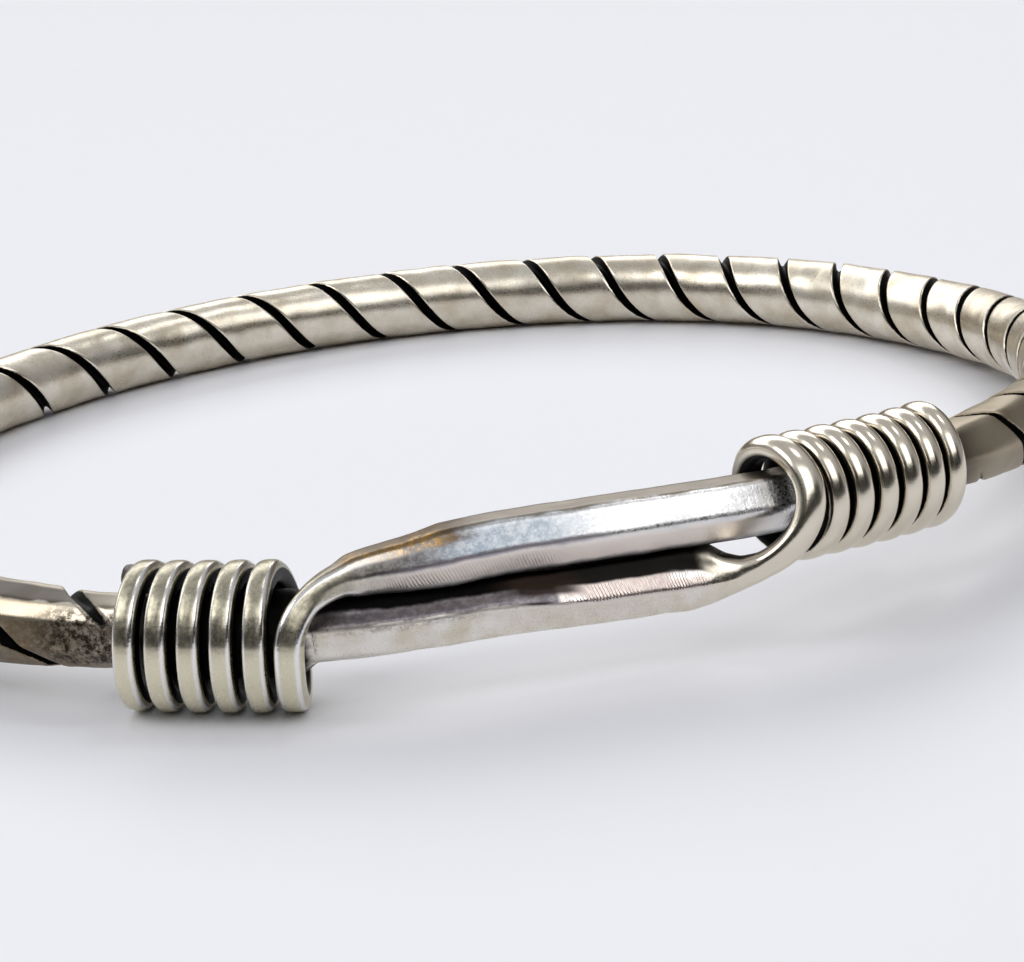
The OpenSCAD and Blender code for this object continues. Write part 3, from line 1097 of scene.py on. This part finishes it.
class SilverNodes(NodeBuilder):
    """The nodes of one finish: clean metal, then each layer of tarnish, wear, painted shade and light over
    it.
    """

    # The values of a noise between which each pattern comes in.
    WARM_PATCHES = (0.35, 0.7)
    GRAIN = (0.3, 0.7)
    PITS = (0.6, 0.7)
    ZONE_PATCHES = (0.42, 0.56)
    PATINA_AND_REFLECTION_PATCHES = (0.42, 0.58)
    # What the grain adds to the roughness, the shares of a coil's patina and painted reflection between its
    # patches and in them, and the share of the film that lies on all the wire.
    GRAIN_ROUGHNESS = (-0.08, 0.12)
    PATINA_AND_REFLECTION_SHARES = (0.45, 1.0)
    WIRE_FILM_SHARE = 0.9
    # How far the noises sway the edges of a coil's patina and painted reflection, and of the oxide.
    PATINA_AND_REFLECTION_SWAY = 0.12
    OXIDE_SWAY = 0.3
    # The shares of wire between which the bar's zones end, and the softness of a zone's inner edge.
    ZONES_END = (0.6, 0.95)
    INNER_FADE = 0.1
    # Where oxide fades: over these shares of groove, over these cosines of the angle between the wire's
    # surface and the way out of its coil, and over these degrees wound at each end of the coil.
    GROOVE_OXIDE = (0.25, 0.32)
    RUBBED_FACE = (0.4, 0.5)
    WOUND_FADE = 25.0
    # Where the first turn's open side fades: round to its side, over degrees wound, and round to its inside.
    OPEN_FACE = (0.0, 0.3)
    FIRST_TURN = (200.0, 270.0)
    OPEN_INSIDE = (-0.4, -0.15)
    # The relief's parts and how strongly it shows. A wave texture at a scale of 1 repeats after its period.
    STREAK_RELIEF = 0.8
    GRAIN_RELIEF = 0.7
    RELIEF_STRENGTH = 0.5
    HATCH_DISTORTION = 2.5
    HATCH_DETAIL = 2.0
    WAVE_PERIOD = math.tau / 20

    def __init__(self, silver: WornSilverAndPaintedLight) -> None:
        """Starts the material and makes what its layers share.

        Args:
            silver: the finish.
        """
        self.material = bpy.data.materials.new(silver.name)
        self.material.use_nodes = True
        super().__init__(self.material.node_tree)
        self.tree.nodes.clear()
        self.silver = silver
        self.place = self.place_on_rod()
        self.noise = self.noises()
        self.colour = linear(silver.bright)
        self.roughness = silver.roughness

    def build(self) -> Material:
        """Lays the metal and its layers in order.

        Returns:
            The material, which reads the rod's own attributes.
        """
        self.clean_metal()
        hatched = None
        # Each zone lays tarnish, wear, painted shade or a painted reflection by where it lies.
        for zone in self.silver.zones:
            mask = self.zone_mask(zone)
            self.lay(mask, zone.colour, zone.roughness)
            if zone.hatched:
                depth = zone.hatched / zone.strength
                hatched = self.add(MATH, [mask, depth, hatched or 0.0], operation="MULTIPLY_ADD")
        self.coil_wear_and_painted_light()
        self.lay(self.recesses(), self.silver.oxide, self.silver.dull)
        surface = {"Base Color": self.colour, "Metallic": 1.0, "Roughness": self.roughness}
        shader = self.add("ShaderNodeBsdfPrincipled", surface | {"Normal": self.bump(hatched)})
        self.add("ShaderNodeOutputMaterial", {"Surface": shader})
        return self.material

    def place_on_rod(self) -> dict[str, Node | NodeSocket]:
        """Reads where a point lies on the rod.

        Returns:
            The straightened place in mm, the section's sine and cosine, the rod's other attributes, and how
            deep the grain is, which is less on the drawn wire.
        """
        straight = self.add(ATTRIBUTE, attribute_name="straight").outputs["Vector"]
        parts = self.add("ShaderNodeSeparateXYZ", [straight])
        across = self.add("ShaderNodeCombineXYZ", [0.0, parts.outputs["Y"], parts.outputs["Z"]])
        length = self.add(VECTOR_MATH, [across], operation="LENGTH").outputs["Value"]
        place = {"straight": straight}
        for name, axis in (("height", "Y"), ("outside", "Z")):
            place[name] = self.add(MATH, [parts.outputs[axis], length], operation="DIVIDE")
        for name in ("ring_angle", "coil_height", "wound", "wire", "groove", "rubbed", "flat_height"):
            place[name] = self.add(ATTRIBUTE, attribute_name=name).outputs["Fac"]
        depths = {0: place["wire"], 2: self.silver.forged_grain, 3: self.silver.wire_grain}
        place["grain_share"] = self.add(MIX, depths, data_type="FLOAT")
        return place

    def noises(self) -> dict[str, Node]:
        """Makes the noises that the layers share.

        Returns:
            Each noise by name, from 0 to 1: mottle, grain, specks and streaks.
        """
        silver = self.silver
        straight = self.place["straight"]
        fine, long = 1 / silver.streak_mm, silver.streak_stretch / silver.streak_mm
        slant = (0, 0, math.radians(silver.streak_slant))
        slanted = self.add(MAPPING, {"Vector": straight, "Rotation": slant, "Scale": (fine, long, long)})
        # Each row is where the noise is read, its scale, its detail and its unevenness.
        rows = {
            "mottle": (straight, 1 / silver.mottle_mm, 4.0, 0.5),
            "grain": (straight, 1 / silver.grain_mm, 2.0, 0.5),
            "specks": (straight, 1 / silver.speck_mm, 5.0, 0.85),
            "streaks": (slanted, 1.0, 2.0, 0.5),
        }
        return {
            name: self.add(NOISE, {"Vector": at, "Scale": scale, "Detail": detail, "Roughness": unevenness})
            for name, (at, scale, detail, unevenness) in rows.items()
        }

    def tint(self, mask: Node, over: str) -> None:
        """Lays a colour, given as hex digits, over what is below."""
        colours = {0: mask, 6: self.colour, 7: linear(over)}
        self.colour = self.add(MIX, colours, data_type="RGBA").outputs[2]

    def lay(self, mask: Node, over: str, roughness: float) -> None:
        """Lays a colour, given as hex digits, and a roughness over what is below."""
        self.tint(mask, over)
        self.roughness = self.add(MIX, {0: mask, 2: self.roughness, 3: roughness}, data_type="FLOAT")

    def clean_metal(self) -> None:
        """The silver under its layers: bright, with a warm film in patches and small dark pits."""
        silver = self.silver
        self.tint(self.add(RANGE, [self.noise["mottle"], *self.WARM_PATCHES]), silver.warm)
        on_wire = self.add(MATH, [self.place["wire"], self.WIRE_FILM_SHARE], operation="MULTIPLY")
        self.tint(on_wire, silver.wire_film)
        grain = self.add(RANGE, [self.noise["grain"], *self.GRAIN, *self.GRAIN_ROUGHNESS])
        terms = [grain, self.place["grain_share"], silver.roughness]
        self.roughness = self.add(MATH, terms, operation="MULTIPLY_ADD")
        pits = self.add(RANGE, [self.noise["specks"], *self.PITS])
        self.lay(self.add(MATH, [pits, silver.speck_share], operation="MULTIPLY"), silver.speck, silver.dull)

    def span_mask(self, value: Node | NodeSocket, span: Span, fade: float) -> Node:
        """How far a value lies inside a span, easing off over a fade at each end.

        Args:
            value: the value.
            span: the span's ends.
            fade: the width of each soft end.

        Returns:
            The mask.
        """
        ends = []
        for at, first in zip(span, (0.0, 1.0)):
            limits = [value, at - fade, at + fade, first, 1 - first]
            ends.append(self.add(RANGE, limits, interpolation_type="SMOOTHSTEP"))
        return self.add(MATH, ends, operation="MULTIPLY")

    def zone_mask(self, zone: Zone) -> Node:
        """Where one zone of tarnish, wear, painted shade or painted reflection lies, with a ragged edge.

        Args:
            zone: the zone.

        Returns:
            The mask.
        """
        uneven = self.add(MATH, [self.noise["mottle"], NOISE_MIDDLE], operation="SUBTRACT")
        masks = []
        for name, sway, span, fade in (
            ("flat_height", zone.raggedness, zone.heights, zone.height_fade),
            ("ring_angle", SWAY_DEGREES * zone.raggedness, zone.angles, zone.angle_fade),
        ):
            ragged = self.add(MATH, [uneven, sway, self.place[name]], operation="MULTIPLY_ADD")
            masks.append(self.span_mask(ragged, span, fade))
        mask = self.add(MATH, masks, operation="MULTIPLY")
        inner_edge = (zone.outside - self.INNER_FADE, zone.outside + self.INNER_FADE)
        front = self.add(RANGE, [self.place["outside"], *inner_edge])
        thin = zone.strength * (1 - zone.patchy)
        patches = self.add(RANGE, [self.noise["specks"], *self.ZONE_PATCHES, thin, zone.strength])
        on_bar = self.add(RANGE, [self.place["wire"], *self.ZONES_END, 1.0, 0.0])
        for part in (front, patches, on_bar):
            mask = self.add(MATH, [mask, part], operation="MULTIPLY")
        return mask

    def coil_wear_and_painted_light(self) -> None:
        """Patina and painted dark reflection on each turn's upper half; painted highlights on its rubbed
        edges.
        """
        silver = self.silver
        wire = self.place["wire"]
        # Patina and a painted dark reflection: dull bands by height round each coil's turns.
        if silver.coil_patina_and_reflection:
            blotch = self.add(RANGE, [self.noise["specks"], *self.PATINA_AND_REFLECTION_PATCHES, *self.PATINA_AND_REFLECTION_SHARES])
            swayed = [self.noise["mottle"], self.PATINA_AND_REFLECTION_SWAY, self.place["coil_height"]]
            uneven = self.add(MATH, swayed, operation="MULTIPLY_ADD")
            for film in silver.coil_patina_and_reflection:
                mask = self.span_mask(uneven, film.heights, film.fade)
                for part in (wire, blotch, film.share):
                    mask = self.add(MATH, [mask, part], operation="MULTIPLY")
                self.lay(mask, film.colour, film.roughness)
        # Painted highlight: the bright colour and a low roughness along each wire's rubbed edges.
        edge = self.span_mask(self.place["outside"], silver.edge_span, silver.edge_fade)
        for part in (wire, silver.rubbed_edge_highlight):
            edge = self.add(MATH, [edge, part], operation="MULTIPLY")
        self.lay(edge, silver.bright, silver.edge_roughness)
        tip = self.add(RANGE, [self.place["wound"], silver.tip_turn, silver.tip_turn + silver.tip_fade])
        self.lay(tip, silver.tip_film, silver.tip_roughness)

    def recesses(self) -> Node:
        """Where a polishing cloth doesn't reach: the grooves, and the sides and inside of the coiled wire.

        Returns:
            The mask.
        """
        sway = [self.noise["specks"], self.OXIDE_SWAY]
        cut, reach = (
            self.add(MATH, [*sway, self.place[name]], operation="MULTIPLY_ADD")
            for name in ("groove", "rubbed")
        )
        in_groove = self.add(RANGE, [cut, *self.GROOVE_OXIDE])
        inner = self.add(RANGE, [reach, *self.RUBBED_FACE, 1.0, 0.0])
        coiled = (self.silver.coil_turn, self.silver.tip_turn)
        wound = self.span_mask(self.place["wound"], coiled, self.WOUND_FADE)
        between = self.add(MATH, [inner, wound], operation="MULTIPLY")
        if self.silver.open_side:
            kept = self.add(MATH, [1.0, self.open_to_cloth()], operation="SUBTRACT")
            between = self.add(MATH, [between, kept], operation="MULTIPLY")
        return self.add(MATH, [in_groove, between], operation="MAXIMUM")

    def open_to_cloth(self) -> Node:
        """Where the side of a coil's first turn looks away from the other turns, and so stays rubbed.

        Returns:
            The mask.
        """
        side = float(self.silver.open_side.value)
        sideways = self.add(MATH, [self.place["height"], side], operation="MULTIPLY")
        mask = self.add(RANGE, [sideways, *self.OPEN_FACE])
        first_turn = self.add(RANGE, [self.place["wound"], *self.FIRST_TURN, 1.0, 0.0])
        not_inside = self.add(RANGE, [self.place["rubbed"], *self.OPEN_INSIDE])
        for part in (first_turn, not_inside):
            mask = self.add(MATH, [mask, part], operation="MULTIPLY")
        return mask

    def bump(self, hatched: Node | None) -> Node:
        """The satin grain, the file's streaks and its deeper hatching as relief.

        Args:
            hatched: how deep the hatching is, or None where there is none.

        Returns:
            The node that bumps the normal.
        """
        filed = self.add(MATH, [self.noise["streaks"], self.STREAK_RELIEF], operation="MULTIPLY")
        height = self.add(MATH, [self.noise["grain"], self.GRAIN_RELIEF, filed], operation="MULTIPLY_ADD")
        if hatched:
            slant = (0, 0, math.radians(self.silver.hatch_slant))
            slanted = self.add(MAPPING, {"Vector": self.place["straight"], "Rotation": slant})
            lines = {"Vector": slanted, "Scale": self.WAVE_PERIOD / self.silver.hatch_mm}
            unevenness = {"Distortion": self.HATCH_DISTORTION, "Detail": self.HATCH_DETAIL}
            hatch = self.add("ShaderNodeTexWave", lines | unevenness).outputs["Fac"]
            marks = self.add(MATH, [hatch, hatched], operation="MULTIPLY")
            height = self.add(MATH, [height, marks], operation="ADD")
        height = self.add(MATH, [height, self.place["grain_share"]], operation="MULTIPLY")
        depth = {"Strength": self.RELIEF_STRENGTH, "Distance": self.silver.relief_mm * MM}
        return self.add("ShaderNodeBump", {"Height": height} | depth)


# On the band, angles run on past 180.
BAND_ZONES = (
    Zone("66563f", 0.38, (270, 330), (-1.2, 0.5), angle_fade=9, height_fade=0.05, strength=0.92,
         patchy=0.15),
    Zone("352d27", 0.4, (270, 330), (0.84, 1.1), angle_fade=9, height_fade=0.03, strength=0.95),
    Zone("c8bba4", 0.3, (300, 325), (0.5, 0.84), angle_fade=5, height_fade=0.03, raggedness=0.05,
         hatched=0.6),
    Zone("1c120d", 0.5, (322, 330), (-0.75, 0.75), angle_fade=2.0, strength=0.93, patchy=0.97),
    Zone("94866f", 0.4, (30, 75), (-1.2, 1.2), angle_fade=9, strength=0.8, outside=-1.2),
    # Painted shade: a dark brown on the band where it comes out of the right coil.
    Zone("221c17", 0.45, (30, 37), (-1.2, 0.85), angle_fade=2.5, strength=0.9, outside=-1.2),
    # Painted shade, near black, on the band's ends inside the two coils.
    Zone("0b0a09", 0.55, (0, 31), (-1.2, 1.2), angle_fade=0.3, strength=0.98, outside=-1.2),
    Zone("0b0a09", 0.55, (329, 360), (-1.2, 1.2), angle_fade=0.3, strength=0.98, outside=-1.2),
)
UPPER_ZONES = (
    Zone("6f6350", 0.38, (-20, 30), (0.86, 1.1), height_fade=0.04, strength=0.85, outside=-1.2),
    Zone("7c8894", 0.33, (-12, 2.5), (0.02, 0.84), angle_fade=4, strength=0.88, patchy=0.3),
    Zone("56504f", 0.34, (-17, -8), (0.0, 0.84), angle_fade=3, strength=0.88, patchy=0.25),
    Zone("4c3a24", 0.34, (-18, -6), (0.6, 1.1), strength=0.92, patchy=0.25, outside=-1.2),
    Zone("b68f52", 0.22, (-18, -8), (0.62, 0.95), height_fade=0.08, patchy=1.0, outside=-1.2),
    Zone("aa9fa8", 0.42, (-12, 4), (-0.04, 0.14), height_fade=0.06, strength=0.7),
    # Painted reflection: a pale cream on the upper bar's lower-front facet, for the floor reflected there.
    Zone("f2e8df", 0.36, (-14, 16), (-0.75, -0.05), angle_fade=2.5, strength=0.9),
    Zone("dcd0c6", 0.3, (-14, 1), (-0.7, -0.05), angle_fade=2.5, strength=0.6, hatched=1.0),
    # Painted shade, near black, on the upper bar's underside above the lower bar.
    Zone("0b0a09", 0.55, (-20, 30), (-1.2, -0.78), outside=-1.2),
    # Painted shade, near black, on the upper bar inside the right coil.
    Zone("0b0a09", 0.55, (19.2, 32), (-1.2, 1.2), angle_fade=0.3, raggedness=0.05, strength=0.98,
         outside=-1.2),
)
LOWER_ZONES = (
    # Painted shade: a dark grey on the lower bar's upper half, under the upper bar.
    Zone("4f4a55", 0.36, (-20, 0.3), (0.02, 1.1), angle_fade=0.5, height_fade=0.04, raggedness=0.08,
         strength=0.92, patchy=0.12, outside=-1.2),
    # Painted shade, near black, on the lower bar's top in the gap under the upper bar.
    Zone("0b0a09", 0.6, (-40, 12), (0.52, 1.2), angle_fade=1, height_fade=0.07, strength=0.98, outside=-1.2),
    Zone("d6c8c1", 0.26, (0.2, 11.8), (0.02, 0.6), angle_fade=0.5, height_fade=0.05, raggedness=0.14,
         outside=0.2, hatched=1.5),
    Zone("f7f2ee", 0.24, (0.2, 2.2), (0.02, 0.2), angle_fade=0.5, height_fade=0.1, strength=0.8),
    Zone("f7f2ee", 0.24, (9.0, 11.8), (0.4, 0.62), angle_fade=0.8, height_fade=0.08, strength=0.8),
    # Painted shade: a dark brown on the lower bar's upper front under the crossing's middle.
    Zone("2a211c", 0.45, (-4, 1.6), (0.32, 0.9), angle_fade=1.3, height_fade=0.1, strength=0.92),
    Zone("5c544c", 0.45, (-16, -6), (-0.2, 0.05), angle_fade=2, strength=0.6, patchy=0.97),
    Zone("ece4dc", 0.5, (-22, 13), (-0.08, 0.02), angle_fade=2, height_fade=0.05, strength=0.7),
    Zone("ded4ca", 0.3, (-3, 7), (-0.75, -0.05), angle_fade=2, strength=0.4, hatched=0.6),
    # Painted shade, near black, on the lower bar inside the left coil.
    Zone("0b0a09", 0.55, (-32, -17.9), (-1.2, 1.2), angle_fade=0.4, strength=0.98, outside=-1.2),
)
# Patina and a painted dark reflection on the left coil's turns: a dull top and a darker band under it.
LEFT_COIL_PATINA_AND_REFLECTION = (
    CoilPatinaAndReflection("6d6a60", (0.6, 1.4), fade=0.15, share=0.65),
    CoilPatinaAndReflection("504a43", (0.26, 0.62), fade=0.05, share=0.75),
)


BAND_SILVER = WornSilverAndPaintedLight(
    "Worn silver and painted shade of the band", BAND_ZONES, bright="e7e0d1", warm="cbbfa9", mottle_mm=1.6, forged_grain=0.5
)
UPPER_SILVER = WornSilverAndPaintedLight(
    "Worn silver, painted shade and light of the upper end", UPPER_ZONES, open_side=Side.LEFT, coil_patina_and_reflection=LEFT_COIL_PATINA_AND_REFLECTION,
    tip_turn=2085, rubbed_edge_highlight=1.0, warm="e0e0e0",
)
LOWER_SILVER = WornSilverAndPaintedLight(
    "Worn silver and painted shade of the lower end", LOWER_ZONES, open_side=Side.RIGHT, roughness=0.2, wire_grain=0.2,
    bright="ece7e0", warm="d8cfbd", wire_film="e5dcca",
)


@dataclass
class Studio:
    """The pale surface, the soft lights and the camera.

    The room's two walls come in over spans of two values: facing is the cosine of the angle from the
    camera's direction, and top is the sine of the height, from where the wall ends down to where it is full.
    """

    floor_colour: str = "eeeff4"
    floor_roughness: float = 0.5
    floor_size: float = 3.0
    ceiling_tone: str = "fafbff"
    ceiling_rise: Span = (0.5, 0.75)
    side_tone: str = "d6d7dc"
    front_tone: str = "322e2b"
    front_facing: Span = (0.0, 0.35)
    front_top: Span = (0.6, 0.44)
    back_tone: str = "8e8377"
    back_facing: Span = (-0.2, -0.7)
    back_top: Span = (0.6, 0.35)
    room_strength: float = 0.5
    camera_place: tuple[float, float, float] = (-18.176, -144.744, 42.518)
    azimuth: float = -8.5
    elevation: float = 16.5
    roll: float = -6.0
    focal_px: float = 3000.0
    clip: Span = (0.01, 20)

    def floor(self) -> None:
        """The pale laminate under the bangle: smooth and even, with a soft, dull sheen."""
        half = self.floor_size / 2
        corners = [(-half, -half, 0), (half, -half, 0), (half, half, 0), (-half, half, 0)]
        mesh = bpy.data.meshes.new("floor")
        mesh.from_pydata(corners, [], [(0, 1, 2, 3)])
        floor = add_object("floor", mesh)
        material = bpy.data.materials.new("Pale laminate")
        material.use_nodes = True
        shader = material.node_tree.nodes["Principled BSDF"]
        shader.inputs["Base Color"].default_value = linear(self.floor_colour)
        shader.inputs["Roughness"].default_value = self.floor_roughness
        mesh.materials.append(material)

    def light(self, name: str, place: Vector, size: Span, watts: float) -> None:
        """Adds one soft light that faces the ring's middle.

        Args:
            name: the light's name.
            place: where it stands, in metres.
            size: its width and height in metres.
            watts: its power.
        """
        data = bpy.data.lights.new(name, "AREA")
        data.shape = "RECTANGLE"
        data.size, data.size_y = size
        data.energy = watts
        lamp = add_object(name, data)
        lamp.location = place
        lamp.rotation_mode = "QUATERNION"
        lamp.rotation_quaternion = (-place).to_track_quat("-Z", "Y")

    def lights(self) -> None:
        """The window in front on the right, soft lights behind, on the left and overhead, and the room."""
        self.light("window", self.from_front(14, 48, 3.0), size=(3.2, 1.9), watts=29.0)
        self.light("back", self.from_front(194, 32, 3.0), size=(5.0, 1.4), watts=45.0)
        self.light("left", self.from_front(-88, 44, 1.2), size=(0.6, 0.6), watts=3.2)
        self.light("overhead", Vector((0.4, 0.2, 1.1)), size=(0.25, 0.2), watts=0.8)
        self.room()

    @staticmethod
    def from_front(azimuth: float, elevation: float, distance: float) -> Vector:
        """A place seen from the ring's middle: degrees right of the front, degrees up, and metres away."""
        a, e = math.radians(azimuth), math.radians(elevation)
        return distance * Vector((math.sin(a) * math.cos(e), -math.cos(a) * math.cos(e), math.sin(e)))

    def room(self) -> None:
        """The room: a white tent, open and dark round the camera, with a tan wall behind."""
        world = bpy.data.worlds.new("Studio")
        world.use_nodes = True
        nodes = NodeBuilder(world.node_tree)
        direction = nodes.add("ShaderNodeTexCoord").outputs["Generated"]
        height = nodes.add("ShaderNodeSeparateXYZ", [direction]).outputs["Z"]
        level = nodes.add(VECTOR_MATH, [direction, (1, 1, 0)], operation="MULTIPLY")
        compass = nodes.add(VECTOR_MATH, [level], operation="NORMALIZE")
        front = self.from_front(self.azimuth, 0, 1)
        to_front = nodes.add(VECTOR_MATH, [compass, front], operation="DOT_PRODUCT").outputs["Value"]
        side, ceiling = linear(self.side_tone), linear(self.ceiling_tone)
        tone = self.blend(nodes, side, ceiling, height, self.ceiling_rise)
        for colour, facing, top in (
            (self.back_tone, self.back_facing, self.back_top),
            (self.front_tone, self.front_facing, self.front_top),
        ):
            round_it = nodes.add(RANGE, [to_front, *facing])
            below = nodes.add(RANGE, [height, *top])
            both = nodes.add(MATH, [round_it, below], operation="MULTIPLY")
            tone = self.blend(nodes, tone, linear(colour), both, (0.0, 1.0))
        background = world.node_tree.nodes["Background"]
        world.node_tree.links.new(tone, background.inputs["Color"])
        background.inputs["Strength"].default_value = self.room_strength
        bpy.context.scene.world = world

    @staticmethod
    def blend(
        nodes: NodeBuilder, first: NodeSocket | tuple, second: tuple, value: Node | NodeSocket, span: Span
    ) -> NodeSocket:
        """Goes softly from one colour to another as a value comes through a span."""
        share = nodes.add(RANGE, [value, *span], interpolation_type="SMOOTHSTEP")
        return nodes.add(MIX, {0: share, 6: first, 7: second}, data_type="RGBA").outputs[2]

    def camera(self) -> None:
        """The camera, fitted to the photograph's own angle, turned a little about its line of sight."""
        azimuth, elevation, roll = (math.radians(v) for v in (self.azimuth, self.elevation, self.roll))
        turn = Matrix.Rotation(azimuth, 3, "Z")
        right = Vector((1, 0, 0))
        up = Vector((0, math.sin(elevation), math.cos(elevation)))
        ahead = turn @ Vector((0, math.cos(elevation), -math.sin(elevation)))
        rolled_right = turn @ (right * math.cos(roll) + up * math.sin(roll))
        rolled_up = turn @ (up * math.cos(roll) - right * math.sin(roll))
        data = bpy.data.cameras.new("camera")
        data.lens = self.focal_px / PHOTO_WIDTH * data.sensor_width
        data.clip_start, data.clip_end = self.clip
        camera = add_object("camera", data)
        camera.rotation_mode = "QUATERNION"
        axes = Matrix((rolled_right, rolled_up, -ahead)).transposed()
        camera.rotation_quaternion = axes.to_quaternion()
        camera.location = Vector(self.camera_place) * MM
        bpy.context.scene.camera = camera
        bpy.context.scene.view_settings.view_transform = "Standard"


def main() -> None:
    """Builds the bangle, dresses it and lights it."""
    logging.basicConfig(level=logging.INFO)
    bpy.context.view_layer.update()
    studio = Studio()
    studio.camera()
    studio.floor()
    studio.lights()
    rod = RodLine(RodSizes())
    sweep = SweepTree(rod.sizes)
    band = TwistedBand(rod)
    upper_end = PlainEnd(rod, LEFT_WIRE, "upper_end", band.first)
    lower_end = PlainEnd(rod, RIGHT_WIRE, "lower_end", band.last, scoop=LOWER_SCOOP, crown=LOWER_CROWN)
    for part, silver in ((band, BAND_SILVER), (upper_end, UPPER_SILVER), (lower_end, LOWER_SILVER)):
        part.piece().build(sweep, SilverNodes(silver).build())


if __name__ == "__main__":
    main()
